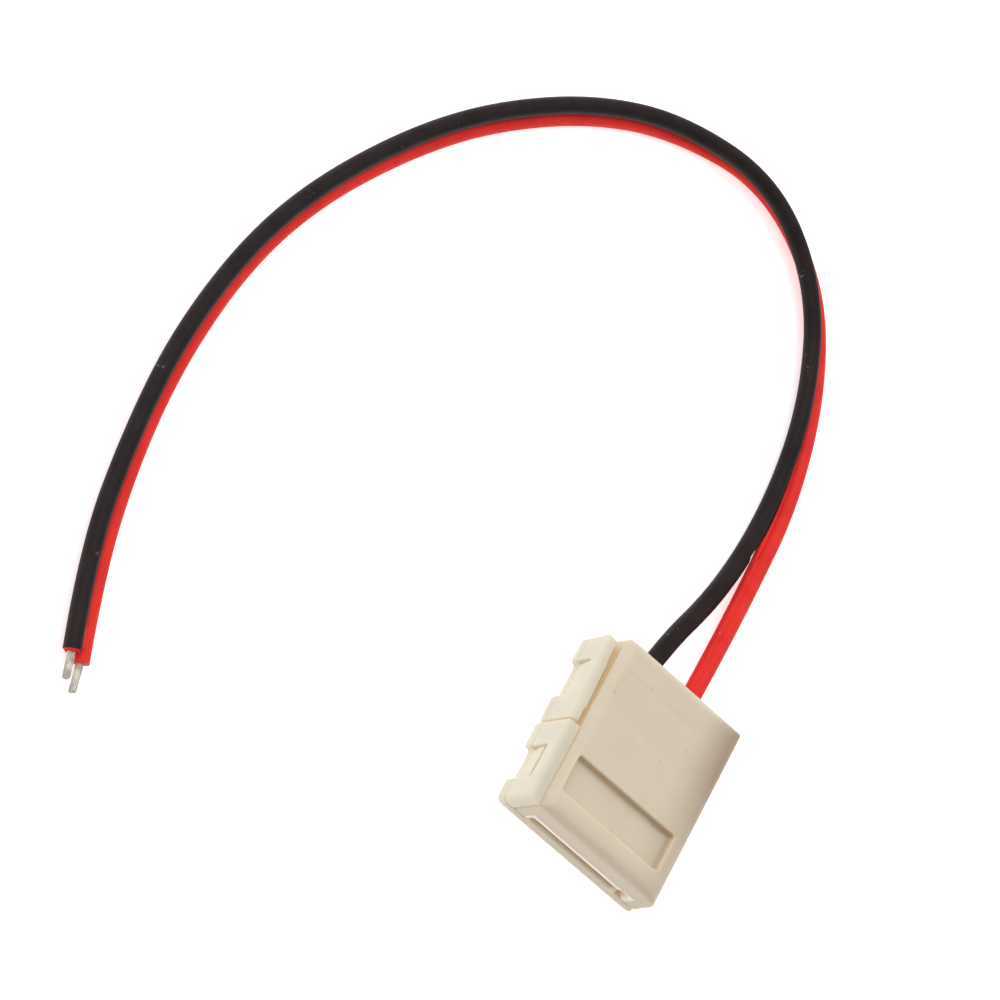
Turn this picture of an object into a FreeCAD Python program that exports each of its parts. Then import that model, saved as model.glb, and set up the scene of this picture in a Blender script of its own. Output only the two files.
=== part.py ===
import FreeCAD, Part
import math
import os

# Solderless clip connector for a 10 mm two-pin LED strip, with its twin pigtail.
# Millimetres. X across the strip (latches at -X, hinges at +X), Y along it (strip enters
# at -Y, leads leave at +Y), Z up. Origin: middle of the underside of housing and covers.

# Whole connector
connector_length = 18.2
connector_height = 5.2

# Covers
cover_thickness = 1.2
cover_gap = 0.05
strip_cover_length = 8.3
cover_split_gap = 0.1
wire_cover_setback = 0.2
cover_edge_radius = 0.2
mouth_edge_radius = 0.5
wire_cover_corner_radius = 1.2
cover_recess_top = 0.42
cover_recess_bottom = 0.62
lead_in_chamfer = 0.3
strip_pad_rise = 0.25
strip_pad_length = 1.1
strip_pad_side_gap = 0.1

# Latch loops: front and seam ends on the strip cover, seam and back ends on the wire cover
latch_thickness = 1.35
latch_gap = 0.08
strip_latch_front_arm = 2.35
strip_latch_seam_arm = 2.55
strip_latch_drop = 0.22
strip_spine_underside = 3.55
strip_latch_front_radius = 0.7
strip_latch_front_foot_radius = 0.55
strip_latch_under_radius = 0.15
wire_latch_seam_arm = 2.75
wire_latch_back_arm = 2.5
wire_latch_setback = 0.6
wire_latch_seam_drop = 0.22
wire_latch_back_drop = 0.72
wire_latch_back_lean = 0.18
wire_latch_seam_foot_radius = 0.8
wire_latch_back_radius = 0.6
wire_latch_under_radius = 0.45
wire_spine_underside = 3.15
latch_top_edge_radius = 0.45
latch_corner_radius = 0.15
wedge_gap_seam = 0.46
wedge_gap_front = 0.3
wedge_gap_back = 0.46
wedge_step_length = 1.5

# Housing
socket_left_margin = 1.47
right_wall = 2.23
hinge_overhang = 0.12
front_left_radius = 0.3
front_right_radius = 0.15
back_left_radius = 0.9
back_right_radius = 0.5
top_edge_radius = 0.9
right_edge_radius = 1.8
left_bevel_width = 0.9
left_bevel_drop = 0.42
left_crease_radius = 1.2
left_edge_radius = 0.1
catch_ledge_height = 3.05
catch_clearance = 0.12
catch_ledge_inset = 0.1
pocket_left_margin = 1.07
pocket_right_margin = 2.0
pocket_front_margin = 2.43
pocket_length = 3.7
pocket_depth = 0.85
pocket_draft = 0.1
pocket_right_draft = 0.3
pocket_corner_radius = 0.18

# Strip socket with the rail that keeps the strip to the left, and its mouth
strip_width = 10.0
strip_side_clearance = 0.25
socket_height = 1.1
socket_end_gap = 0.1
rail_width = 0.5
rail_length = 2.4
rail_height = 0.62
rail_gap = 0.35
rail_radius = 0.2
mouth_lip_reach = 0.08
mouth_lip_width = 0.42
mouth_lip_side = 0.24
mouth_flare = 0.65
mouth_flare_rise = 0.3
press_rib_height = 0.2
press_rib_width = 1.8
press_rib_length = 0.6

# Hinges
hinge_bar_radius = 0.3
hinge_clearance = 0.05
lug_hole_clearance = 0.05
lug_snap_opening = 0.46
lug_neck_left = 0.5
lug_neck_right = 0.4
lug_neck_root = 0.4
lug_notch_gap = 0.15
lug_length = 2.2
lug_side_gap = 0.1

# Leads, their bare ends and channels
lead_diameter = 1.6
core_diameter = 0.76
lead_height = 2.1
black_lead_x = -3.2
red_lead_x = 2.8
lead_start_y = 3.0
channel_side_clearance = 0.32
channel_top_clearance = 0.12
channel_stop_gap = 0.15
inner_core_length = 1.95
inner_core_gap = 0.05
tinned_length = 2.7
tinned_round = 0.2

# Contacts, stamped from tinned sheet
contact_thickness = 0.25
contact_width = 1.6
contact_play = 0.05
contact_lip_setback = 3.1
contact_lip_rise = 0.42
contact_dip_setback = 3.9
contact_dip_z = 1.72
contact_rise_setback = 6.7
crimp_wall = 0.22
crimp_play = 0.02
crimp_opening = 0.4
crimp_length = 1.4
crimp_lead_gap = 0.15

# Route of each lead's axis, from its end in the housing to its cut end
black_route = [
    (black_lead_x, lead_start_y, lead_height),
    (-2.3, 11.0, 2.2),
    (1.2, 20.6, 1.0),
    (1.8, 30.8, 1.0),
    (-0.2, 40.8, 1.6),
    (-5.1, 49.8, 1.9),
    (-14.2, 54.5, 2.5),
    (-25.0, 52.6, 2.5),
    (-33.3, 48.1, 2.3),
    (-41.2, 40.8, 2.2),
    (-47.0, 33.1, 2.1),
    (-52.1, 23.5, 2.0),
    (-55.0, 14.6, 2.0),
    (-56.2, 3.8, 1.9),
    (-55.4, -5.9, 1.7),
    (-53.5, -16.3, 1.6),
    (-50.5, -23.6, 1.6),
]
red_route = [
    (red_lead_x, lead_start_y, lead_height),
    (3.0, 11.9, 2.2),
    (3.1, 22.2, 1.0),
    (3.4, 32.0, 0.81),
    (0.7, 42.6, 0.81),
    (-4.6, 50.9, 0.81),
    (-14.0, 55.1, 0.81),
    (-24.7, 52.4, 0.81),
    (-32.7, 47.6, 0.81),
    (-40.6, 40.1, 0.81),
    (-46.3, 32.2, 0.81),
    (-51.3, 22.7, 0.81),
    (-54.0, 13.6, 0.81),
    (-54.8, 2.9, 0.81),
    (-53.9, -7.0, 0.81),
    (-51.6, -17.0, 0.81),
    (-48.6, -24.5, 0.81),
]
arc_share = 0.45

# Worked out from the sizes above
strip_space = strip_width + 2 * strip_side_clearance
connector_width = (
    latch_thickness + latch_gap + socket_left_margin + strip_space
    + rail_width + rail_gap + right_wall + hinge_overhang
)
left_x = -connector_width / 2
right_x = connector_width / 2
front_y = -connector_length / 2
back_y = connector_length / 2
housing_left_x = left_x + latch_thickness + latch_gap
housing_right_x = right_x - hinge_overhang
housing_front_y = front_y + mouth_lip_reach
housing_under_z = cover_thickness + cover_gap
hinge_radius = cover_thickness / 2
hinge_x = right_x - hinge_radius
hinge_z = hinge_radius
strip_cover_end_y = front_y + strip_cover_length
wire_cover_start_y = strip_cover_end_y + cover_split_gap
wire_cover_end_y = back_y - wire_cover_setback
wire_latch_end_y = wire_cover_end_y - wire_latch_setback
socket_left_x = housing_left_x + socket_left_margin
rail_left_x = socket_left_x + strip_space
socket_right_x = rail_left_x + rail_width + rail_gap
socket_top_z = cover_thickness + socket_height
pad_top_z = cover_thickness + strip_pad_rise
lead_radius = lead_diameter / 2
core_radius = core_diameter / 2
contact_lip_y = front_y + contact_lip_setback
contact_dip_y = front_y + contact_dip_setback
contact_rise_y = front_y + contact_rise_setback
contact_top_z = lead_height + core_radius + crimp_play + crimp_wall + cover_gap
contact_mid_z = contact_top_z - contact_thickness / 2
inner_core_end_y = lead_start_y - inner_core_gap
crimp_end_y = lead_start_y - crimp_lead_gap


def vec(x, y, z):
    return FreeCAD.Vector(x, y, z)


def block(x0, x1, y0, y1, z0, z1):
    return Part.makeBox(x1 - x0, y1 - y0, z1 - z0, vec(x0, y0, z0))


def rod_along_y(x, z, radius, y0, y1):
    return Part.makeCylinder(radius, y1 - y0, vec(x, y0, z), vec(0, 1, 0))


def fuse_all(shapes):
    return shapes[0].multiFuse(shapes[1:]).removeSplitter()


def edges_where(shape, test):
    """Edges of the shape whose two end points and middle all pass the test."""
    found = []
    for edge in shape.Edges:
        first, last = edge.ParameterRange
        points = [edge.valueAt(first), edge.valueAt((first + last) / 2), edge.valueAt(last)]
        if all(test(p) for p in points):
            found.append(edge)
    return found


def same(a, b):
    return abs(a - b) < 1e-4


def rounded_face(corners):
    """Flat face through the given corner points, each rounded by its own radius."""
    edges = []
    starts = []
    ends = []
    for i, (at, radius) in enumerate(corners):
        back = corners[i - 1][0] - at
        ahead = corners[(i + 1) % len(corners)][0] - at
        half_angle = back.getAngle(ahead) / 2
        back.normalize()
        ahead.normalize()
        first = at + back * (radius / math.tan(half_angle))
        last = at + ahead * (radius / math.tan(half_angle))
        if radius > 0:
            inward = back + ahead
            inward.normalize()
            middle = at + inward * (radius / math.sin(half_angle) - radius)
            edges.append(Part.Arc(first, middle, last).toShape())
        starts.append(first)
        ends.append(last)
    for i, last in enumerate(ends):
        following = starts[(i + 1) % len(starts)]
        if not same((following - last).Length, 0):
            edges.append(Part.LineSegment(last, following).toShape())
    return Part.Face(Part.Wire(Part.__sortEdges__(edges)))


def prism_along_x(x0, x1, corners):
    """Prism from corners (y, z, radius)."""
    face = rounded_face([(vec(x0, y, z), radius) for y, z, radius in corners])
    return face.extrude(vec(x1 - x0, 0, 0))


def prism_along_y(y0, y1, corners, rise=0):
    """Prism from corners (x, z, radius), its far end higher by rise."""
    face = rounded_face([(vec(x, y0, z), radius) for x, z, radius in corners])
    return face.extrude(vec(0, y1 - y0, rise))


def prism_along_z(z0, z1, corners):
    """Prism from corners (x, y, radius)."""
    face = rounded_face([(vec(x, y, z0), radius) for x, y, radius in corners])
    return face.extrude(vec(0, 0, z1 - z0))


# Cover with its latch loop, later parted at the level of the plate's inner face

def latch_loop(y0, y1, window_y0, window_y1, underside, top0, top1, ends, under_radius):
    """C-shaped loop: spine at the top, two arms, window for the housing's catch."""
    foot0, foot1, upper0, upper1, upright0, upright1, lean = ends
    x1 = left_x + latch_thickness
    side = prism_along_x(left_x, x1, [
        (y0, 0, foot0), (y1 - lean, 0, foot1), (y1, top1, upper1), (y0, top0, upper0),
    ])
    plan = prism_along_z(0, connector_height, [
        (left_x, y0, upright0), (x1, y0, 0), (x1, y1, 0), (left_x, y1, upright1),
    ])
    crest = prism_along_y(y0, y1, [
        (left_x, -connector_height, 0), (x1, -connector_height, 0), (x1, top0, 0),
        (left_x, top0, latch_top_edge_radius),
    ], top1 - top0)
    under = prism_along_y(y0, y1, [
        (left_x, 0, under_radius), (x1, 0, 0), (x1, connector_height, 0),
        (left_x, connector_height, 0),
    ])
    loop = side.common(plan).common(crest).common(under)
    return loop.cut(block(left_x - 1, x1 + 1, window_y0, window_y1, -1, underside))


def cover_plate(y0, y1, front_radius, back_left_plan_radius):
    """Flat plate, slanted on its latch edge, fully round on its hinge edge."""
    section = prism_along_y(y0, y1, [
        (left_x + cover_recess_bottom, 0, cover_edge_radius),
        (right_x, 0, hinge_radius),
        (right_x, cover_thickness, hinge_radius),
        (left_x + cover_recess_top, cover_thickness, 0),
    ])
    side = prism_along_x(left_x, right_x, [
        (y0, 0, front_radius), (y1, 0, cover_edge_radius),
        (y1, cover_thickness, 0), (y0, cover_thickness, 0),
    ])
    plan = prism_along_z(0, cover_thickness, [
        (left_x + cover_recess_top, y0, 0), (right_x, y0, cover_edge_radius),
        (right_x, y1, cover_edge_radius),
        (left_x + cover_recess_top, y1, back_left_plan_radius),
    ])
    return section.common(side).common(plan)


def lug_start(y0, y1):
    """Each lug sits at the middle of its cover."""
    return (y0 + y1 - lug_length) / 2


def cover_with_loop(y0, y1, plate, loop):
    """Plate with room for the housing's lug, the hinge bar across it and the latch loop."""
    start = lug_start(y0, y1)
    end = start + lug_length
    around = hinge_radius + hinge_clearance
    notch = rod_along_y(hinge_x, hinge_z, around, start - lug_side_gap, end + lug_side_gap)
    above = block(
        hinge_x - lug_neck_left - lug_notch_gap, right_x + 1,
        start - lug_side_gap, end + lug_side_gap, hinge_z, cover_thickness + 1,
    )
    bar = rod_along_y(
        hinge_x, hinge_z, hinge_bar_radius, start - 2 * lug_side_gap, end + 2 * lug_side_gap
    )
    return fuse_all([plate.cut(notch.fuse(above)), bar, loop])


def part_at_plate(shape):
    """Splits cover and loop: the loop above the plate's inner face is the springy latch."""
    above = block(
        left_x - 1, left_x + latch_thickness + latch_gap / 2,
        front_y - 1, back_y + 1, cover_thickness, connector_height + 1,
    )
    return shape.cut(above).removeSplitter(), shape.common(above).removeSplitter()


def strip_cover_and_latch():
    top_z = connector_height - strip_latch_drop
    ends = (
        strip_latch_front_foot_radius, latch_corner_radius, latch_corner_radius,
        latch_corner_radius, strip_latch_front_radius, latch_corner_radius, 0,
    )
    loop = latch_loop(
        front_y, strip_cover_end_y, front_y + strip_latch_front_arm,
        strip_cover_end_y - strip_latch_seam_arm, strip_spine_underside,
        top_z, top_z, ends, strip_latch_under_radius,
    )
    plate = cover_plate(front_y, strip_cover_end_y, mouth_edge_radius, cover_edge_radius)
    whole = cover_with_loop(front_y, strip_cover_end_y, plate, loop)
    cover, latch = part_at_plate(whole)
    below_z = cover_thickness - lead_in_chamfer
    pad = prism_along_x(socket_left_x + strip_pad_side_gap, rail_left_x + cover_gap, [
        (front_y, below_z, 0),
        (front_y + strip_pad_length, below_z, 0),
        (front_y + strip_pad_length, pad_top_z, 0),
        (front_y, pad_top_z, lead_in_chamfer),
    ])
    rail_top_z = cover_thickness + rail_height
    rail_right_x = rail_left_x + rail_width
    rail_end_y = front_y + rail_length
    rail_side = prism_along_x(rail_left_x, rail_right_x, [
        (front_y, below_z, 0), (rail_end_y, below_z, 0), (rail_end_y, rail_top_z, 0),
        (front_y, rail_top_z, rail_height),
    ])
    rail_section = prism_along_y(front_y, rail_end_y, [
        (rail_left_x, below_z, 0), (rail_right_x, below_z, 0),
        (rail_right_x, rail_top_z, rail_radius), (rail_left_x, rail_top_z, rail_radius),
    ])
    rail = rail_side.common(rail_section)
    ribs = [
        block(
            x - press_rib_width / 2, x + press_rib_width / 2,
            contact_dip_y - press_rib_length / 2, contact_dip_y + press_rib_length / 2,
            cover_thickness - cover_gap, cover_thickness + press_rib_height,
        )
        for x in (black_lead_x, red_lead_x)
    ]
    return fuse_all([cover, pad, rail] + ribs), latch


def wire_cover_and_latch():
    seam_top_z = connector_height - wire_latch_seam_drop
    back_top_z = connector_height - wire_latch_back_drop
    ends = (
        wire_latch_seam_foot_radius, latch_corner_radius, latch_corner_radius,
        wire_latch_back_radius, latch_corner_radius, latch_corner_radius, wire_latch_back_lean,
    )
    loop = latch_loop(
        wire_cover_start_y, wire_latch_end_y, wire_cover_start_y + wire_latch_seam_arm,
        wire_latch_end_y - wire_latch_back_arm, wire_spine_underside,
        seam_top_z, back_top_z, ends, wire_latch_under_radius,
    )
    inner_x = left_x + latch_thickness
    step_y = wire_cover_start_y + wedge_step_length
    wedge = prism_along_z(wire_spine_underside, connector_height, [
        (inner_x + 1, wire_cover_start_y, 0),
        (inner_x - wedge_gap_seam, wire_cover_start_y, 0),
        (inner_x - wedge_gap_seam, step_y, 0),
        (inner_x - wedge_gap_front, step_y + wedge_gap_seam - wedge_gap_front, 0),
        (inner_x - wedge_gap_back, wire_latch_end_y, 0),
        (inner_x + 1, wire_latch_end_y, 0),
    ])
    plate = cover_plate(
        wire_cover_start_y, wire_cover_end_y, cover_edge_radius, wire_cover_corner_radius
    )
    whole = cover_with_loop(wire_cover_start_y, wire_cover_end_y, plate, loop.cut(wedge))
    return part_at_plate(whole)


# Housing

def finger_pocket():
    """Shallow recess in the top face, its right wall drafted more than the others."""
    x0 = housing_left_x + pocket_left_margin
    x1 = housing_right_x - pocket_right_margin
    y0 = front_y + pocket_front_margin
    y1 = y0 + pocket_length
    over = connector_height + pocket_depth
    wires = []
    for share, z in ((1, connector_height - pocket_depth), (-1, over)):
        inset = pocket_draft * share
        right_inset = pocket_right_draft * share
        wires.append(Part.makePolygon([
            vec(x0 + inset, y0 + inset, z),
            vec(x1 - right_inset, y0 + inset, z),
            vec(x1 - right_inset, y1 - inset, z),
            vec(x0 + inset, y1 - inset, z),
            vec(x0 + inset, y0 + inset, z),
        ]))
    pocket = Part.makeLoft(wires, True, True)
    upright = edges_where(pocket, lambda p: True)
    upright = [e for e in upright if not same(e.Vertexes[0].Point.z, e.Vertexes[1].Point.z)]
    return pocket.makeFillet(pocket_corner_radius, upright)


def catch(window_y0, window_y1):
    """Ramped tooth in a latch window: proud under the spine, receding to the cover."""
    slope = (cover_recess_top - catch_ledge_inset) / (catch_ledge_height - cover_thickness)
    foot_x = left_x + cover_recess_top - slope * cover_gap
    return prism_along_y(window_y0 + catch_clearance, window_y1 - catch_clearance, [
        (housing_left_x + latch_gap, housing_under_z, 0),
        (foot_x, housing_under_z, 0),
        (left_x + catch_ledge_inset, catch_ledge_height, 0),
        (housing_left_x + latch_gap, catch_ledge_height, 0),
    ])


def hinge_lug(y0, y1):
    """Snap ring that holds the cover's bar, open downward, on a neck under the wall."""
    start = lug_start(y0, y1)
    end = start + lug_length
    ring = rod_along_y(hinge_x, hinge_z, hinge_radius, start, end)
    neck = block(
        hinge_x - lug_neck_left, hinge_x + lug_neck_right, start, end,
        hinge_z, housing_under_z + lug_neck_root,
    )
    hole = rod_along_y(
        hinge_x, hinge_z, hinge_bar_radius + lug_hole_clearance, start - 1, end + 1
    )
    snap = block(
        hinge_x - lug_snap_opening / 2, hinge_x + lug_snap_opening / 2,
        start - 1, end + 1, -1, hinge_z,
    )
    return ring.fuse(neck).cut(hole.fuse(snap))


def lead_channel(route):
    """Way for one lead along its first run: straight sides, round top, open underneath."""
    x = route[0][0]
    splay = math.degrees(math.atan2(route[1][0] - x, route[1][1] - lead_start_y))
    half = lead_radius + channel_side_clearance
    top_radius = lead_radius + channel_top_clearance
    start = lead_start_y - channel_stop_gap
    end = back_y + lead_diameter
    slot = block(x - half, x + half, start, end, housing_under_z - 1, lead_height)
    upper = block(
        x - half, x + half, start, end, lead_height,
        lead_height + top_radius * math.sqrt(0.5),
    )
    crown = rod_along_y(x, lead_height, top_radius, start, end)
    channel = fuse_all([slot, upper, crown])
    channel.rotate(vec(x, lead_start_y, 0), vec(0, 0, 1), -splay)
    return channel


def contact_way(x):
    """Room in the housing for a contact, from the socket into the lead channel."""
    half = contact_width / 2 + contact_play
    return block(
        x - half, x + half, contact_lip_y - contact_play, lead_start_y,
        housing_under_z - 1, contact_top_z + contact_play,
    )


def housing_block():
    """Outer form of the housing: three rounded outlines crossed."""
    section = prism_along_y(housing_front_y, back_y, [
        (housing_left_x, housing_under_z, 0),
        (housing_right_x, housing_under_z, 0),
        (housing_right_x, connector_height, right_edge_radius),
        (housing_left_x + left_bevel_width, connector_height, left_crease_radius),
        (housing_left_x, connector_height - left_bevel_drop, left_edge_radius),
    ])
    side = prism_along_x(housing_left_x, housing_right_x, [
        (housing_front_y, housing_under_z, 0),
        (back_y, housing_under_z, 0),
        (back_y, connector_height, top_edge_radius),
        (housing_front_y, connector_height, top_edge_radius),
    ])
    plan = prism_along_z(housing_under_z, connector_height, [
        (housing_left_x, housing_front_y, front_left_radius),
        (housing_right_x, housing_front_y, front_right_radius),
        (housing_right_x, back_y, back_right_radius),
        (housing_left_x, back_y, back_left_radius),
    ])
    return section.common(side).common(plan)


def mouth_lip():
    """Narrow raised band over the strip's mouth and down its left side."""
    lip_left_x = socket_left_x - mouth_lip_side
    lip_right_x = socket_right_x + mouth_flare
    behind_y = housing_front_y + mouth_lip_reach
    over = block(
        lip_left_x, lip_right_x, front_y, behind_y,
        socket_top_z, socket_top_z + mouth_lip_width,
    )
    down = block(
        lip_left_x, socket_left_x, front_y, behind_y, housing_under_z, socket_top_z
    )
    return over.fuse(down)


def mouth_flare_cut():
    """Slanted widening of the mouth at the rail's side."""
    return prism_along_z(housing_under_z - 1, socket_top_z + mouth_flare_rise, [
        (socket_right_x - mouth_flare, front_y - mouth_flare, 0),
        (socket_right_x + 2 * mouth_flare, front_y - mouth_flare, 0),
        (socket_right_x, front_y + mouth_flare, 0),
        (socket_right_x - mouth_flare, front_y + mouth_flare, 0),
    ])


def housing():
    socket = block(
        socket_left_x, socket_right_x, front_y - 1, strip_cover_end_y - socket_end_gap,
        housing_under_z - 1, socket_top_z,
    )
    body = housing_block().fuse(mouth_lip())
    cuts = [finger_pocket(), socket, mouth_flare_cut()]
    for x, route in ((black_lead_x, black_route), (red_lead_x, red_route)):
        cuts.append(lead_channel(route))
        cuts.append(contact_way(x))
    for cutter in cuts:
        body = body.cut(cutter)
    added = [
        catch(front_y + strip_latch_front_arm, strip_cover_end_y - strip_latch_seam_arm),
        catch(wire_cover_start_y + wire_latch_seam_arm, wire_latch_end_y - wire_latch_back_arm),
        hinge_lug(front_y, strip_cover_end_y),
        hinge_lug(wire_cover_start_y, wire_cover_end_y),
    ]
    return fuse_all([body] + added)


# Contacts and bare core ends

def ribbon(path, thickness, x0, width):
    """Sheet of even thickness that follows a bent path in the YZ plane."""
    upper = []
    lower = []
    half = thickness / 2
    for i, (y, z) in enumerate(path):
        normals = []
        for a, b in ((i - 1, i), (i, i + 1)):
            if a < 0 or b >= len(path):
                continue
            dy = path[b][0] - path[a][0]
            dz = path[b][1] - path[a][1]
            run = math.hypot(dy, dz)
            normals.append((-dz / run, dy / run))
        ny = sum(n[0] for n in normals) / len(normals)
        nz = sum(n[1] for n in normals) / len(normals)
        reach = half / (ny * ny + nz * nz)
        upper.append(vec(x0, y + ny * reach, z + nz * reach))
        lower.append(vec(x0, y - ny * reach, z - nz * reach))
    outline = upper + lower[::-1] + [upper[0]]
    return Part.Face(Part.makePolygon(outline)).extrude(vec(width, 0, 0))


def contact(x):
    """Spring blade over the strip's pad, flat run, and a crimp round the bare core."""
    path = [
        (contact_lip_y, contact_dip_z + contact_lip_rise),
        (contact_dip_y, contact_dip_z),
        (contact_rise_y, contact_mid_z),
        (crimp_end_y, contact_mid_z),
    ]
    blade = ribbon(path, contact_thickness, x - contact_width / 2, contact_width)
    crimp_start_y = crimp_end_y - crimp_length
    inner = core_radius + crimp_play
    tube = rod_along_y(x, lead_height, inner + crimp_wall, crimp_start_y, crimp_end_y)
    bore = rod_along_y(x, lead_height, inner, crimp_start_y - 1, crimp_end_y + 1)
    mouth = block(
        x - crimp_opening / 2, x + crimp_opening / 2,
        crimp_start_y - 1, crimp_end_y + 1, 0, lead_height,
    )
    neck = block(
        x - inner, x + inner, crimp_start_y, crimp_end_y,
        lead_height + core_radius, contact_mid_z,
    )
    return fuse_all([tube, neck, blade]).cut(bore.fuse(mouth))


def inner_core(x):
    start = inner_core_end_y - inner_core_length
    return rod_along_y(x, lead_height, core_radius, start, inner_core_end_y)


# Leads

def route_path(points):
    """Straight runs joined by tangent arcs, each as large as its shorter run allows."""
    nodes = [vec(*p) for p in points]
    edges = []
    radii = []
    last = nodes[0]
    for before, at, after in zip(nodes, nodes[1:], nodes[2:]):
        back = before - at
        ahead = after - at
        reach = arc_share * min(back.Length, ahead.Length)
        turn = math.pi - back.getAngle(ahead)
        radius = reach / math.tan(turn / 2)
        back.normalize()
        ahead.normalize()
        start = at + back * reach
        end = at + ahead * reach
        inward = back + ahead
        inward.normalize()
        middle = at + inward * (math.hypot(radius, reach) - radius)
        edges.append(Part.LineSegment(last, start).toShape())
        edges.append(Part.Arc(start, middle, end).toShape())
        radii.append(radius)
        last = end
    edges.append(Part.LineSegment(last, nodes[-1]).toShape())
    return Part.Wire(edges), radii


def lead(name, points):
    path, radii = route_path(points)
    start = vec(*points[0])
    along = vec(*points[1]) - start
    section = Part.Wire(Part.makeCircle(lead_radius, start, along))
    tube = path.makePipeShell([section], True, False)
    expected = math.pi * lead_radius ** 2 * path.Length
    print(name, "length", round(path.Length, 2), "volume", round(tube.Volume, 2),
          "section by length", round(expected, 2))
    print(name, "radii", [round(r, 1) for r in radii])
    return tube


def tinned_end(points):
    """Bare tinned core beyond the cut insulation, its tip slightly rounded."""
    end = vec(*points[-1])
    along = end - vec(*points[-2])
    core = Part.makeCylinder(core_radius, tinned_length, end, along)
    along.normalize()
    tip = end + along * tinned_length
    rim = [
        e for e in core.Edges
        if e.isClosed() and (e.CenterOfMass - tip).Length < core_radius
    ]
    return core.makeFillet(tinned_round, rim)


def main():
    os.makedirs("parts", exist_ok=True)
    strip_cover, strip_latch = strip_cover_and_latch()
    wire_cover, wire_latch = wire_cover_and_latch()
    nodes = {
        "housing": housing(),
        "strip_cover": strip_cover,
        "strip_latch": strip_latch,
        "wire_cover": wire_cover,
        "wire_latch": wire_latch,
        "black_contact": contact(black_lead_x),
        "red_contact": contact(red_lead_x),
        "black_inner_core": inner_core(black_lead_x),
        "red_inner_core": inner_core(red_lead_x),
        "black_lead": lead("black_lead", black_route),
        "red_lead": lead("red_lead", red_route),
        "black_tinned_end": tinned_end(black_route),
        "red_tinned_end": tinned_end(red_route),
    }
    for name, shape in nodes.items():
        print(name, shape.ShapeType, "solids", len(shape.Solids), "valid", shape.isValid(),
              "volume", round(shape.Volume, 2))
        shape.exportStep("parts/" + name + ".step")


main()
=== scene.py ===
import bpy
import functools
import math
import random
from mathutils import Euler, Matrix, Vector


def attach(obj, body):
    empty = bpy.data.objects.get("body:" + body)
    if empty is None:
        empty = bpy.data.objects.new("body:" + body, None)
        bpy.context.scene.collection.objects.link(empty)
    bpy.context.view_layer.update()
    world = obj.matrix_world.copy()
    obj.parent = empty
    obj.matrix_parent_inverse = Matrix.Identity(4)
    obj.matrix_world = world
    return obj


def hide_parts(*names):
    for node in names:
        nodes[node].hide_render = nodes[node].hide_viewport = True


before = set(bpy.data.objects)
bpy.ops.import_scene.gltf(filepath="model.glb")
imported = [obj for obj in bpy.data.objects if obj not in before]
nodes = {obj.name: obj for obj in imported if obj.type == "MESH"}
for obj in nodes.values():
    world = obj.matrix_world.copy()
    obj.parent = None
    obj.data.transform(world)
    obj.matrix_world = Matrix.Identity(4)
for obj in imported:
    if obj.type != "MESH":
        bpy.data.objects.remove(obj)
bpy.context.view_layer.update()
mm = 0.001

print("stage: frame loaded,", len(nodes), "nodes")


# Camera: where the photograph was taken from, aimed at the middle of the loop

viewpoint = {
    "lookAt": (-22.488, 12.370, 1.493),  # millimetres, as all lengths but those noted
    "azimuth": -43.073,  # degrees, as the next two
    "elevation": 52.964,
    "roll": 78.310,
    "distance": 515.0,
    "sensor": 36.0,
    "lens": 216.225,
    "nearest": 0.01,  # metres
    "farthest": 10.0,
}

turn = (
    Euler((0, 0, math.radians(viewpoint["azimuth"]))).to_matrix()
    @ Euler((math.radians(90 - viewpoint["elevation"]), 0, 0)).to_matrix()
    @ Euler((0, 0, math.radians(viewpoint["roll"]))).to_matrix()
)
cameraData = bpy.data.cameras.new("photoCamera")
cameraData.sensor_width = viewpoint["sensor"]
cameraData.lens = viewpoint["lens"]
cameraData.clip_start = viewpoint["nearest"]
cameraData.clip_end = viewpoint["farthest"]
camera = bpy.data.objects.new("photoCamera", cameraData)
bpy.context.scene.collection.objects.link(camera)
standBack = turn.col[2] * viewpoint["distance"]
camera.matrix_world = (
    Matrix.Translation((Vector(viewpoint["lookAt"]) + standBack) * mm) @ turn.to_4x4()
)
bpy.context.scene.camera = camera


# Shader writing: a value wraps a socket, so that maths on it adds Math nodes

class Value:
    def __init__(self, shader, socket):
        self.shader = shader
        self.socket = socket

    def maths(self, operation, first, second):
        return self.shader.add("ShaderNodeMath", {"operation": operation}, {0: first, 1: second})

    def __add__(self, other):
        return self.maths("ADD", self, other)

    def __radd__(self, other):
        return self.maths("ADD", other, self)

    def __sub__(self, other):
        return self.maths("SUBTRACT", self, other)

    def __rsub__(self, other):
        return self.maths("SUBTRACT", other, self)

    def __mul__(self, other):
        return self.maths("MULTIPLY", self, other)

    def __rmul__(self, other):
        return self.maths("MULTIPLY", other, self)

    def feed(self, name):
        self.shader.tree.links.new(self.socket, self.shader.output.inputs[name])

    def most(self, other):
        return self.maths("MAXIMUM", self, other)

    # 0 below the lower place, 1 above the higher, smooth between
    def rise(self, low, high):
        return self.shader.add(
            "ShaderNodeMapRange", {"interpolation_type": "SMOOTHSTEP"},
            {"Value": self, "From Min": low, "From Max": high, "To Min": 0.0, "To Max": 1.0},
        )

    # 1 below the lower place, 0 above the higher
    def fall(self, low, high):
        return 1.0 - self.rise(low, high)

    # places in millimetres, None where a side is open: 0 at the first, 1 from the second to the
    # third, 0 from the fourth on
    def within(self, begin, full, fade, end):
        if fade is None:
            return self.rise(begin * mm, full * mm)
        if begin is None:
            return self.fall(fade * mm, end * mm)
        return self.rise(begin * mm, full * mm) * self.fall(fade * mm, end * mm)


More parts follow.
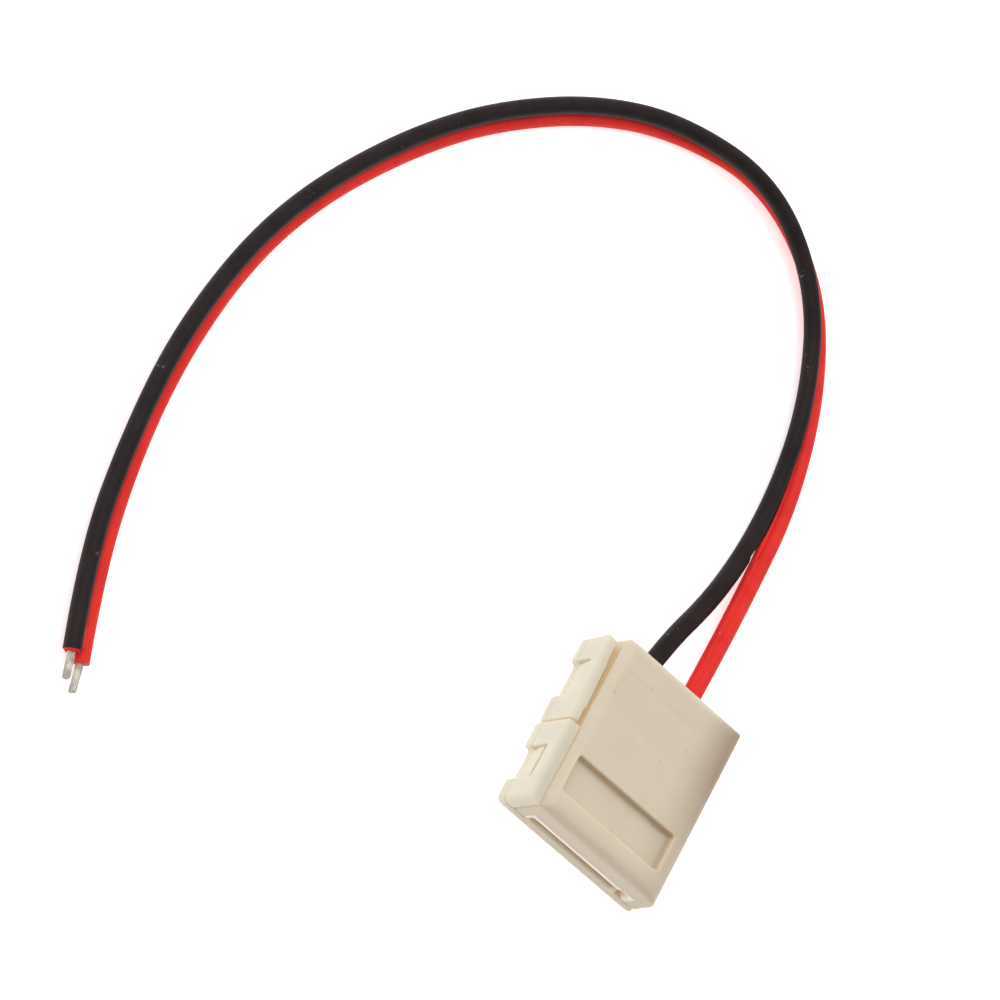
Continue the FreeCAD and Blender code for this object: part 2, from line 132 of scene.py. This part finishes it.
class Shader:
    def __init__(self, name, tree=None):
        if tree is None:
            self.material = bpy.data.materials.new(name)
            self.material.use_nodes = True
        self.tree = tree or self.material.node_tree
        self.tree.nodes.clear()
        self.output = self.tree.nodes.new(
            "ShaderNodeOutputWorld" if tree else "ShaderNodeOutputMaterial"
        )

    # adds a node: its settings first, then a value or a link for each socket
    def add(self, kind, settings=None, sockets=None, out=0):
        node = self.tree.nodes.new(kind)
        for name, setting in (settings or {}).items():
            setattr(node, name, setting)
        for name, given in (sockets or {}).items():
            if isinstance(given, Value):
                self.tree.links.new(given.socket, node.inputs[name])
            else:
                node.inputs[name].default_value = given
        return Value(self, node.outputs[out])

    def place(self):
        return self.add("ShaderNodeTexCoord", out="Object")

    def along(self, place, axis):
        return self.add("ShaderNodeSeparateXYZ", None, {"Vector": place}, out=axis)

    # 1 inside a zone with soft sides, given for each axis by the four places of within
    def zone(self, place, sides):
        masks = [self.along(place, axis).within(*places) for axis, places in sides.items()]
        return math.prod(masks)

    def stretched(self, place, scale):
        return self.add("ShaderNodeVectorMath", {"operation": "MULTIPLY"}, {0: place, 1: scale})

    def distance(self, place, spot):
        return self.add(
            "ShaderNodeVectorMath", {"operation": "DISTANCE"}, {0: place, 1: spot}, out="Value"
        )

    def noise(self, place, size, detail=2.0, roughness=0.5):
        return self.add(
            "ShaderNodeTexNoise", None,
            {"Vector": place, "Scale": 1.0 / size, "Detail": detail, "Roughness": roughness},
        )

    # near 1 on open faces, towards 0 in gaps narrower than the reach
    def openness(self, reach):
        return self.add(
            "ShaderNodeAmbientOcclusion", {"samples": 8}, {"Distance": reach}, out="AO"
        )

    def mix(self, factor, first, second):
        first, second = (
            given if isinstance(given, Value) else (*given, 1.0) for given in (first, second)
        )
        return self.add(
            "ShaderNodeMix", {"data_type": "RGBA"}, {0: factor, 6: first, 7: second}, out=2
        )

    def bump(self, height, strength, distance):
        return self.add(
            "ShaderNodeBump", None, {"Height": height, "Strength": strength, "Distance": distance}
        )

    def finish(self, sockets):
        self.add("ShaderNodeBsdfPrincipled", None, sockets).feed("Surface")
        return self.material


# Moulded plastic: ivory, slightly translucent, with flow lines, faint grime and specks, painted
# shade and painted glow

plasticFinish = {
    "flowSizes": (9.0, 2.2, 5.0),  # along X, Y and Z
    "flowShare": 0.7,  # of the mottle, beside the patches
    "patchSize": 3.2,
    "mottle": (0.35, 0.68),
    "grainSize": 0.12,
    "roughness": 0.35,
    "grainRoughness": 0.12,
    "flowRoughness": 0.10,
    "grainShare": 0.5,  # of the relief, beside the flow lines
    "relief": 0.012,
    "reliefStrength": 0.22,
    "refraction": 1.5,
    "translucency": 0.8,
    "bleed": 1.2,
    "bleedColour": (1.0, 0.80, 0.58),
}

speckFinish = {
    "colour": (0.33, 0.24, 0.16),
    "spacing": 1.7,
    "edge": (0.02, 0.05),
    "patchSize": 2.9,
    "patches": (0.58, 0.66),
    "strength": 0.55,
    "spotEdge": (0.35, 1.3),  # of a spot's own size
    "spotStrength": 0.45,
}

# Painted shade and painted glow in the gaps and the strip's mouth, for the warm light that the
# thin plastic lets through
gapPaintedLight = {
    "reach": 1.2,
    "openness": (0.12, 0.72),
    "shade": (0.60, 0.45, 0.27),
    "shadeStrength": 0.6,
    "glow": (0.60, 0.46, 0.25),
    "glowStrength": 0.30,
    # in the mouth: painted shade under the lip, and a painted glow
    "mouthZone": {
        "Y": (-9.05, -8.6, None, None), "X": (-6.1, -5.9, 6.9, 7.1), "Z": (0.6, 0.9, 2.4, 2.6),
    },
    "mouthShade": (0.55, 0.43, 0.32),
    "mouthShadeStrength": 0.7,
    "mouthPaintedGlow": 0.42,
}

coverFinish = {
    "light": (0.612, 0.572, 0.472),
    "deep": (0.590, 0.547, 0.442),
    "spots": [],
    "marks": {
        # painted shade on the cover's tray, under the housing's lip at the mouth
        "trayPaintedShade": {
            "colour": (0.54, 0.435, 0.325),
            "strength": 0.65,
            "zone": {
                "Y": (None, None, -8.4, -7.4), "Z": (None, None, 0.95, 1.3),
                "X": (-7.6, -6.2, None, None),
            },
        },
    },
    "gapZone": {"Z": (0.3, 0.9, None, None)},
}

# Each mark has a zone, and areas in it with a strength of their own. What makes it uneven is
# given as a base and a gain.
housingFinish = {
    "light": (0.642, 0.568, 0.440),
    "deep": (0.622, 0.540, 0.412),
    "spots": [  # place and size
        ((-5.75, 3.8, 5.2), 0.13),
        ((3.2, 4.0, 5.2), 0.10),
        ((5.3, 3.1, 5.2), 0.10),
        ((1.4, 1.5, 5.2), 0.10),
        ((4.1, -3.25, 4.42), 0.12),
        ((-2.7, 6.4, 5.2), 0.12),
    ],
    "marks": {
        # painted shadow: the top darkens towards the hinge side, and more towards the rear
        "hingeSidePaintedShadow": {
            "colour": (0.353, 0.256, 0.176),
            "strength": 1.0,
            "zone": {"X": (2.8, 9.5, None, None)},
            "rearward": (0.44, 0.95),
        },
        # painted shade on the front rounding, darker than the lit top
        "frontRimPaintedShade": {
            "colour": (0.520, 0.436, 0.338),
            "strength": 0.6,
            "zone": {"Y": (None, None, -8.8, -7.5)},
        },
        # painted shade on the recess's back wall and along the foot of its right wall
        "recessPaintedShade": {
            "colour": (0.44, 0.285, 0.155),
            "strength": 0.6,
            "zone": {"Z": (None, None, 5.0, 5.18)},
            "areas": {
                "back": (1.0, {
                    "Y": (-3.35, -3.25, -2.7, -2.6), "X": (-5.8, -5.7, 6.4, 6.5),
                    "Z": (4.32, 4.6, None, None),
                }),
                "foot": (0.5, {"X": (5.85, 5.93, 6.03, 6.11), "Y": (-6.5, -6.4, -2.9, -2.8)}),
            },
        },
        "paleCatches": {
            "colour": coverFinish["light"],
            "strength": 0.8,
            "zone": {"X": (None, None, -7.5, -7.1)},
        },
        # paler bands round the strip's mouth: along the lip above it, its left side, its right
        # corner and the end by the latch
        "paleMouthEdges": {
            "colour": (0.86, 0.82, 0.77),
            "strength": 0.95,
            "zone": {"Y": (None, None, -8.95, -8.55)},
            "areas": {
                "lip": (1.0, {"Z": (2.24, 2.36, 2.72, 2.84), "X": (-5.8, -5.6, 6.8, 7.0)}),
                "side": (1.0, {"X": (-5.76, -5.66, -5.40, -5.30), "Z": (0.55, 0.7, 2.5, 2.65)}),
                "corner": (0.6, {"X": (5.4, 5.7, 6.75, 7.05), "Z": (0.9, 1.2, 2.6, 2.9)}),
                "end": (0.7, {"X": (-7.0, -6.9, -5.7, -5.6), "Z": (0.85, 0.95, 1.25, 1.35)}),
            },
            "patchy": (0.65, 0.4),
        },
        "dirtyEdges": {
            "colour": speckFinish["colour"],
            "strength": 0.35,
            "zone": {"Z": (4.6, 4.9, None, None)},
            "areas": {
                "rear": (1.0, {"Y": (6.12, 6.17, 6.21, 6.26), "X": (-6.1, -5.9, 6.4, 6.6)}),
                "left": (1.0, {"X": (-5.93, -5.88, -5.84, -5.79), "Y": (3.5, 3.8, 5.4, 5.7)}),
                "right": (1.0, {"X": (6.33, 6.38, 6.42, 6.47), "Y": (3.8, 4.0, 6.3, 6.5)}),
            },
            "patchy": (0.0, 1.0),
        },
    },
    "rearwardZone": {"Y": (-6.0, 6.0, None, None)},
    "gapZone": {"Z": (0.3, 0.9, None, None), "X": (-7.95, -7.55, None, None)},
}


# small dark specks: some strewn in patches, and one at each spot, given by its place and size
def specks(shader, place, spots):
    finish = speckFinish
    dots = shader.add(
        "ShaderNodeTexVoronoi", {"feature": "F1"},
        {"Vector": place, "Scale": 1.0 / (finish["spacing"] * mm), "Randomness": 1.0},
    )
    patches = shader.noise(place, finish["patchSize"] * mm, detail=0.0).rise(*finish["patches"])
    mask = dots.fall(*finish["edge"]) * patches * finish["strength"]
    for spot, size in spots:
        away = shader.distance(place, [value * mm for value in spot])
        near = away.fall(*(part * size * mm for part in finish["spotEdge"]))
        mask = mask.most(near * finish["spotStrength"])
    return mask


# how strongly a mark covers the plastic: the strongest of its areas, inside its zone
def markMask(shader, place, mark, uneven):
    mask = shader.zone(place, mark["zone"]) * mark["strength"]
    if "areas" in mark:
        areas = [
            shader.zone(place, sides) * strength for strength, sides in mark["areas"].values()
        ]
        mask = mask * functools.reduce(Value.most, areas)
    for name, value in uneven.items():
        if name in mark:
            base, gain = mark[name]
            mask = mask * (value * gain + base)
    return mask


def mouldedPlastic(name, look):
    finish, gaps = plasticFinish, gapPaintedLight
    shader = Shader(name)
    place = shader.place()
    flowPlace = shader.stretched(place, [1.0 / (size * mm) for size in finish["flowSizes"]])
    flow = shader.noise(flowPlace, 1.0, detail=4.0, roughness=0.6)
    patches = shader.noise(place, finish["patchSize"] * mm, detail=3.0, roughness=0.6)
    grain = shader.noise(place, finish["grainSize"] * mm, detail=2.0, roughness=0.6)
    mottle = flow * finish["flowShare"] + patches * (1.0 - finish["flowShare"])
    colour = shader.mix(mottle.rise(*finish["mottle"]), look["light"], look["deep"])
    colour = shader.mix(specks(shader, place, look["spots"]), colour, speckFinish["colour"])
    uneven = {"patchy": patches}
    if "rearwardZone" in look:
        uneven["rearward"] = shader.zone(place, look["rearwardZone"])
    # the marks, some of which are painted shade and painted shadow
    for mark in look["marks"].values():
        colour = shader.mix(markMask(shader, place, mark, uneven), colour, mark["colour"])
    # painted shade and painted glow: faces hidden in gaps and in the strip's mouth get a darker
    # warm colour and a faint warm emission
    hidden = 1.0 - shader.openness(gaps["reach"] * mm).rise(*gaps["openness"])
    hidden = hidden * shader.zone(place, look["gapZone"])
    mouth = shader.zone(place, gaps["mouthZone"])
    colour = shader.mix(mouth * gaps["mouthShadeStrength"], colour, gaps["mouthShade"])
    paintedGlowAndShade = hidden.most(mouth * gaps["mouthPaintedGlow"])
    colour = shader.mix(paintedGlowAndShade * gaps["shadeStrength"], colour, gaps["shade"])
    height = grain * finish["grainShare"] + flow * (1.0 - finish["grainShare"])
    roughness = grain * finish["grainRoughness"] + flow * finish["flowRoughness"]
    return shader.finish({
        "Base Color": colour,
        "Emission Color": shader.mix(paintedGlowAndShade, (0.0, 0.0, 0.0), gaps["glow"]),
        "Emission Strength": gaps["glowStrength"],
        "Roughness": roughness + finish["roughness"],
        "Normal": shader.bump(height, finish["reliefStrength"], finish["relief"] * mm),
        "IOR": finish["refraction"],
        "Subsurface Weight": finish["translucency"],
        "Subsurface Radius": finish["bleedColour"],
        "Subsurface Scale": finish["bleed"] * mm,
    })


# Soft insulation: dull, a little dusty, with small pale scuffs

insulationFinish = {
    "black": {
        "light": (0.0138, 0.0064, 0.0070),
        "deep": (0.0074, 0.0026, 0.0031),
        "scuff": (0.16, 0.16, 0.155),
    },
    "red": {
        "light": (0.76, 0.026, 0.018),
        "deep": (0.68, 0.018, 0.014),
        "scuff": (0.75, 0.16, 0.13),
    },
    "mottleSize": 3.0,
    "mottle": (0.35, 0.7),
    "scuffPatchSize": 1.6,
    "scuffPatches": (0.69, 0.77),
    "scuffSize": 0.3,
    "scuffs": (0.58, 0.68),
    "scuffStrength": 0.6,
    "grainSize": 0.16,
    "grainShare": 0.6,  # of the relief, beside the mottle
    "relief": 0.02,
    "reliefStrength": 0.35,
    "roughness": 0.5,
    "mottleRoughness": 0.14,
    "refraction": 1.29,
}


def insulation(name, colours):
    finish = insulationFinish
    shader = Shader(name)
    place = shader.place()
    mottled = shader.noise(place, finish["mottleSize"] * mm, detail=3.0, roughness=0.6)
    grain = shader.noise(place, finish["grainSize"] * mm, detail=3.0, roughness=0.6)
    colour = shader.mix(mottled.rise(*finish["mottle"]), colours["light"], colours["deep"])
    patches = shader.noise(place, finish["scuffPatchSize"] * mm, detail=1.0)
    scuffs = shader.noise(place, finish["scuffSize"] * mm).rise(*finish["scuffs"])
    scuffs = patches.rise(*finish["scuffPatches"]) * scuffs
    height = grain * finish["grainShare"] + mottled * (1.0 - finish["grainShare"])
    return shader.finish({
        "Base Color": shader.mix(scuffs * finish["scuffStrength"], colour, colours["scuff"]),
        "Roughness": finish["roughness"] + mottled * finish["mottleRoughness"],
        "Normal": shader.bump(height, finish["reliefStrength"], finish["relief"] * mm),
        "IOR": finish["refraction"],
    })


# Tinned copper and plated sheet: dull grey metal, its light and its dull colour

metalFinish = {
    "tin": ((0.58, 0.545, 0.48), (0.38, 0.35, 0.30)),
    "plating": ((0.80, 0.77, 0.70), (0.62, 0.58, 0.50)),
    "patchSize": 0.7,
    "patches": (0.35, 0.65),
    "roughness": 0.42,
    "patchRoughness": 0.2,
    "relief": 0.03,
    "reliefStrength": 0.2,
}


def dullMetal(name, light, dull):
    finish = metalFinish
    shader = Shader(name)
    patches = shader.noise(shader.place(), finish["patchSize"] * mm)
    return shader.finish({
        "Base Color": shader.mix(patches.rise(*finish["patches"]), light, dull),
        "Metallic": 1.0,
        "Roughness": finish["roughness"] + patches * finish["patchRoughness"],
        "Normal": shader.bump(patches, finish["reliefStrength"], finish["relief"] * mm),
    })


housingPlastic = mouldedPlastic("housingPlastic", housingFinish)
coverPlastic = mouldedPlastic("coverPlastic", coverFinish)
blackRubber = insulation("blackInsulation", insulationFinish["black"])
redRubber = insulation("redInsulation", insulationFinish["red"])
tinnedMetal = dullMetal("tinnedStrands", *metalFinish["tin"])
contactMetal = dullMetal("contactSheet", *metalFinish["plating"])

finishOf = {
    "housing": housingPlastic,
    "strip_cover": coverPlastic,
    "strip_latch": coverPlastic,
    "wire_cover": coverPlastic,
    "wire_latch": coverPlastic,
    "black_contact": contactMetal,
    "red_contact": contactMetal,
    "black_inner_core": tinnedMetal,
    "red_inner_core": tinnedMetal,
    "black_tinned_end": tinnedMetal,
    "red_tinned_end": tinnedMetal,
    "black_lead": blackRubber,
    "red_lead": redRubber,
}
for name, material in finishOf.items():
    mesh = nodes[name].data
    mesh.materials.clear()
    mesh.materials.append(material)


# Softened edges: each moulding is remade as a fine even mesh, and that is smoothed

mouldShape = {
    "nodes": ["housing", "strip_cover", "strip_latch", "wire_cover", "wire_latch"],
    "weld": 0.002,
    "cell": 0.125,
    "smoothing": 0.5,
    "passes": 3,
}
for name in mouldShape["nodes"]:
    modifiers = nodes[name].modifiers
    modifiers.new("weld", "WELD").merge_threshold = mouldShape["weld"] * mm
    even = modifiers.new("evenMesh", "REMESH")
    even.mode = "VOXEL"
    even.voxel_size = mouldShape["cell"] * mm
    even.use_smooth_shade = True
    soften = modifiers.new("softEdges", "SMOOTH")
    soften.factor = mouldShape["smoothing"]
    soften.iterations = mouldShape["passes"]

print("stage: finishes made")


# Leads: one smooth spline each, through the same route points as the solids

leadShape = {
    "diameter": 1.6,
    "blackLength": 158.9,
    "redLength": 159.3,
    "blackRoute": [
        (-3.2, 3.0, 2.1), (-2.3, 11.0, 2.2), (1.2, 20.6, 1.0), (1.8, 30.8, 1.0),
        (-0.2, 40.8, 1.6), (-5.1, 49.8, 1.9), (-14.2, 54.5, 2.5), (-25.0, 52.6, 2.5),
        (-33.3, 48.1, 2.3), (-41.2, 40.8, 2.2), (-47.0, 33.1, 2.1), (-52.1, 23.5, 2.0),
        (-55.0, 14.6, 2.0), (-56.2, 3.8, 1.9), (-55.4, -5.9, 1.7), (-53.5, -16.3, 1.6),
        (-50.2, -24.35, 1.6),
    ],
    "redRoute": [
        (2.8, 3.0, 2.1), (3.05, 11.9, 2.2), (3.75, 22.2, 1.0), (3.55, 32.0, 0.81),
        (0.7, 42.6, 0.81), (-4.6, 50.9, 0.81), (-14.0, 55.1, 0.81), (-24.7, 52.4, 0.81),
        (-32.7, 47.6, 0.81), (-40.6, 40.1, 0.81), (-46.3, 32.2, 0.81), (-51.3, 22.7, 0.81),
        (-54.0, 13.6, 0.81), (-54.8, 2.9, 0.81), (-53.9, -7.0, 0.81), (-51.6, -17.0, 0.81),
        (-48.6, -24.5, 0.81),
    ],
    "order": 3,
    "roundness": 7,
    "smoothness": 24,
}


def link(name, data):
    piece = bpy.data.objects.new(name, data)
    bpy.context.scene.collection.objects.link(piece)
    return piece


def meshPiece(name, vertices, faces, material):
    data = bpy.data.meshes.new(name)
    data.from_pydata(vertices, [], faces)
    data.materials.append(material)
    data.shade_smooth()
    return link(name, data)


# a curve whose splines become round tubes
def tubeCurve(name, thickness, shape, material):
    data = bpy.data.curves.new(name, "CURVE")
    data.dimensions = "3D"
    data.resolution_u = shape["smoothness"]
    data.bevel_depth = thickness / 2
    data.bevel_resolution = shape["roundness"]
    data.use_fill_caps = True
    data.materials.append(material)
    return data


def addSpline(data, places, order):
    spline = data.splines.new("NURBS")
    spline.points.add(len(places) - 1)
    for point, place in zip(spline.points, places):
        point.co = (*place, 1.0)
    spline.order_u = order
    spline.use_endpoint_u = True
    return spline


def leadCurve(name, route, material, thickness):
    data = tubeCurve(name, thickness, leadShape, material)
    addSpline(data, [[value * mm for value in place] for place in route], leadShape["order"])
    return link(name, data)


# the points of a lead's middle line, as its smooth spline runs
def lineOf(route):
    plain = leadCurve("plainLine", route, redRubber, 0.0)
    mesh = bpy.data.meshes.new_from_object(plain)
    points = [vertex.co.copy() for vertex in mesh.vertices]
    bpy.data.objects.remove(plain)
    bpy.data.meshes.remove(mesh)
    return points


blackLine = lineOf(leadShape["blackRoute"])
redLine = lineOf(leadShape["redRoute"])


# Bond between the leads: a thin web from the split to the cut ends, and the torn fin that it
# leaves on each lead from the housing to the split

bondShape = {
    "split": 24.9,
    "webThickness": 0.56,
    "webReach": 0.4,  # of the way across, at the split
    "webGrowth": 0.11,  # more of the way, past the tear
    "webRoughness": 0.0018,
    "tearLength": 2.5,
    "pointsShort": 4,  # of the lines' ends
    "finThickness": 1.1,
    "finRoot": 0.8,  # of the lead's radius
    "finSteps": 7,
    "finFade": 0.5,
    "finRoughness": 0.006,
    "blackFinReach": 0.20,
    "blackFinEnds": (9.15, 25.6),
    "redFinReach": 0.25,
    "redFinEnds": (9.15, 25.6),
    "tabReach": 0.75,
    "tabRoughness": 0.12,
    "tabEnds": (-24.45, -21.6),
    "seed": 5,
}


# the points of a line between two Y places, on its way out from the housing or near its cut end
def stretchOf(line, low, high, leaving):
    middle = len(line) // 2
    picked = range(1, middle) if leaving else range(middle, len(line) - 1)
    return [i for i in picked if low * mm < line[i].y < high * mm]


# faces round a row of like sections, whose points are taken in the given order, and its two ends
def tubeFaces(order, rows):
    size = len(order)
    faces = []
    for row in range(rows - 1):
        here, there = size * row, size * (row + 1)
        for a, b in zip(order, order[1:] + order[:1]):
            faces.append((here + a, here + b, there + b, there + a))
    faces.append(tuple(reversed(order)))
    faces.append(tuple(size * (rows - 1) + place for place in order))
    return faces


# own half of the web, from the lead's middle line to just past the middle of the gap
def bondWeb(name, own, other, material):
    shape = bondShape
    chance = random.Random(shape["seed"])
    half = shape["webThickness"] / 2 * mm
    first = stretchOf(own, shape["split"], math.inf, True)[0]
    last = min(len(own), len(other)) - shape["pointsShort"]
    vertices = []
    for i in range(first, last + 1):
        across = other[i] - own[i]
        thick = (own[i + 1] - own[i - 1]).cross(across).normalized() * half
        torn = min(1.0, (own[i] - own[first]).length / (shape["tearLength"] * mm))
        uneven = chance.uniform(-1, 1) * shape["webRoughness"]
        reach = shape["webReach"] + shape["webGrowth"] * torn + uneven
        for part in (0.0, shape["webReach"], reach):
            edge = own[i] + across * part
            vertices += [edge + thick, edge - thick]
    return meshPiece(name, vertices, tubeFaces([0, 2, 4, 5, 3, 1], last + 1 - first), material)


# a round-edged ridge along own line towards the other, over the given points
def tornFin(name, own, other, rows, reach, roughness, material):
    shape = bondShape
    chance = random.Random(shape["seed"] + len(name))
    radius = leadShape["diameter"] / 2 * mm
    root = radius * shape["finRoot"]
    half = shape["finThickness"] / 2 * mm
    steps = shape["finSteps"]
    vertices = []
    for i in rows:
        run = (own[i + 1] - own[i - 1]).normalized()
        aside = other[min(i, len(other) - 1)] - own[i]
        aside = (aside - run * run.dot(aside)).normalized()
        thick = run.cross(aside)
        near = min((own[i] - own[rows[0]]).length, (own[i] - own[rows[-1]]).length)
        grow = min(1.0, near / (shape["finFade"] * mm))
        full = radius + (reach + chance.uniform(-1, 1) * roughness) * mm
        tip = root + grow * (full - root)
        vertices += [own[i] + thick * half, own[i] - thick * half]
        for step in range(steps):
            angle = math.pi * (step / (steps - 1) - 0.5)
            vertices.append(
                own[i] + aside * (tip - half * (1 - math.cos(angle)))
                + thick * half * math.sin(angle)
            )
    order = [1] + [2 + step for step in range(steps)] + [0]
    return meshPiece(name, vertices, tubeFaces(order, len(rows)), material)


# directions at a lead's cut end: onwards, sideways and upwards
def endDirections(line):
    run = (line[-1] - line[-3]).normalized()
    aside = run.cross(Vector((0, 0, 1))).normalized()
    return run, aside, run.cross(aside)


# Torn skin: what the red lead's insulation leaves round the cut end of the black one

skinShape = {
    "inner": 0.42,
    "outer": 0.73,
    "innerSlope": 0.1,
    "outerSlope": 0.06,
    "sunk": 0.05,
    "thin": 0.03,
    "thick": 0.34,
    "innerThickness": 0.7,  # of the thickness at its outside
    "points": 36,
    "seed": 3,
}


def tornSkin(name, line, material):
    shape = skinShape
    chance = random.Random(shape["seed"])
    run, aside, above = endDirections(line)
    vertices = []
    for i in range(shape["points"]):
        angle = math.tau * i / shape["points"]
        out = aside * math.cos(angle) + above * math.sin(angle)
        depth = shape["thin"] + shape["thick"] * chance.random() ** 2
        for radius, step in (
            (shape["inner"], -shape["sunk"]),
            (shape["outer"], -shape["sunk"]),
            (shape["outer"] - shape["outerSlope"], depth),
            (shape["inner"] + shape["innerSlope"], depth * shape["innerThickness"]),
        ):
            vertices.append(line[-1] + out * radius * mm + run * step * mm)
    size = len(vertices)
    faces = []
    for start in range(0, size, 4):  # from each section of four points to the next
        for a, b in ((0, 1), (1, 2), (2, 3), (3, 0)):
            faces.append((
                start + a, start + b, (start + 4 + b) % size, (start + 4 + a) % size,
            ))
    return meshPiece(name, vertices, faces, material)


# Tinned ends: strands twisted round a middle one, soldered and cut a little unevenly

strandShape = {
    "count": 7,
    "length": 2.62,
    "thickness": 0.38,
    "bundle": 0.165,
    "flattening": 0.12,
    "turns": 0.24,  # over the whole length
    "tip": 0.8,  # of a strand's own radius
    "overlap": 0.25,
    "unevenness": 0.16,
    "blackLean": (-0.14, 0.0, 0.0),
    "redLean": (-0.28, -0.05, 0.0),
    "steps": 8,
    "order": 4,
    "roundness": 3,
    "smoothness": 4,
    "seed": 11,
}


def tinnedEnd(name, line, lean, seed):
    shape = strandShape
    chance = random.Random(shape["seed"] + seed)
    run, aside, above = endDirections(line)
    data = tubeCurve(name, shape["thickness"] * mm, shape, tinnedMetal)
    outer = shape["count"] - 1
    for strand in range(shape["count"]):
        spread = shape["bundle"] if strand < outer else 0.0
        begin = strand / outer * math.tau + seed
        length = shape["length"] - chance.uniform(0, shape["unevenness"])
        places = []
        for step in range(shape["steps"] + 1):
            part = step / shape["steps"]
            angle = begin + part * shape["turns"] * math.tau
            flat = 1.0 + shape["flattening"] * part
            places.append(
                line[-1] + run * (part * (length + shape["overlap"]) - shape["overlap"]) * mm
                + aside * spread * flat * math.cos(angle) * mm
                + above * spread / flat * math.sin(angle) * mm
                + Vector(lean) * part * mm
            )
        addSpline(data, places, shape["order"]).points[-1].radius = shape["tip"]
    return link(name, data)


leads = (("black", blackLine, redLine, blackRubber), ("red", redLine, blackLine, redRubber))
for seed, (colour, line, other, material) in enumerate(leads):
    route = leadShape[colour + "Route"]
    lead = leadCurve(colour + "LeadInsulation", route, material, leadShape["diameter"] * mm)
    strands = tinnedEnd(colour + "Strands", line, strandShape[colour + "Lean"], seed)
    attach(lead, "housing")
    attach(strands, "housing")
    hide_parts(colour + "_lead")
    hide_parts(colour + "_tinned_end")
    colour + "_insulation"
    rows = stretchOf(line, *bondShape[colour + "FinEnds"], True)
    reach, roughness = bondShape[colour + "FinReach"], bondShape["finRoughness"]
    bond = [
        tornFin(colour + "TornFin", line, other, rows, reach, roughness, material),
        bondWeb(colour + "BondWeb", line, other, material),
    ]
    if colour == "red":
        rows = stretchOf(line, *bondShape["tabEnds"], False)
        reach, roughness = bondShape["tabReach"], bondShape["tabRoughness"]
        bond.append(tornFin("tornTab", line, other, rows, reach, roughness, material))
        bond.append(tornSkin("tornSkin", other, material))
    for piece in bond:
        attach(piece, "housing")
        colour + "_insulation"
    leadShape[colour + "Length"] * mm

print("stage: leads laid")


# Floor and studio light: a white table, a bright room and a large soft light from the left

studio = {
    "floorSize": 4.0,  # metres
    "floorColour": (0.92, 0.92, 0.92),
    "floorRoughness": 0.9,
    "floorGlow": 0.52,
    "glowColour": (1.0, 1.0, 1.0),
    "skyColour": (1.0, 1.0, 1.0),
    "skyStrength": 0.84,
    "frontStrength": 0.36,
    "frontFade": (-1.0, 0.5),
    "lights": {  # place, size and power, in metres and watts
        "keyLight": ((-0.38, -0.04, 0.60), 0.9, 2.6),
        "fillLight": ((0.10, 0.45, 0.8), 0.7, 0.8),
    },
}


def softLight(name, place, size, power):
    data = bpy.data.lights.new(name, "AREA")
    data.shape = "DISK"
    data.size = size
    data.energy = power
    light = link(name, data)
    light.location = place
    light.rotation_euler = Vector(place).to_track_quat("Z", "Y").to_euler()


for name, (place, size, power) in studio["lights"].items():
    softLight(name, place, size, power)
world = bpy.data.worlds.new("studioSky")
world.use_nodes = True
skyShader = Shader("studioSky", world.node_tree)
side = skyShader.along(skyShader.add("ShaderNodeTexCoord", out="Generated"), "Y")
extra = side.rise(*studio["frontFade"]) * (studio["skyStrength"] - studio["frontStrength"])
skyShader.add(
    "ShaderNodeBackground", None,
    {"Color": (*studio["skyColour"], 1.0), "Strength": extra + studio["frontStrength"]},
).feed("Surface")
bpy.context.scene.world = world
bpy.context.scene.view_settings.view_transform = "Standard"

half = studio["floorSize"] / 2
floorShader = Shader("paleFloor")
floor = meshPiece(
    "studioFloor",
    [(-half, -half, 0), (half, -half, 0), (half, half, 0), (-half, half, 0)], [(0, 1, 2, 3)],
    floorShader.finish({
        "Base Color": (*studio["floorColour"], 1.0),
        "Roughness": studio["floorRoughness"],
        "Emission Color": (*studio["glowColour"], 1.0),
        "Emission Strength": studio["floorGlow"],
    }),
)

print("stage: camera, floor and light set")
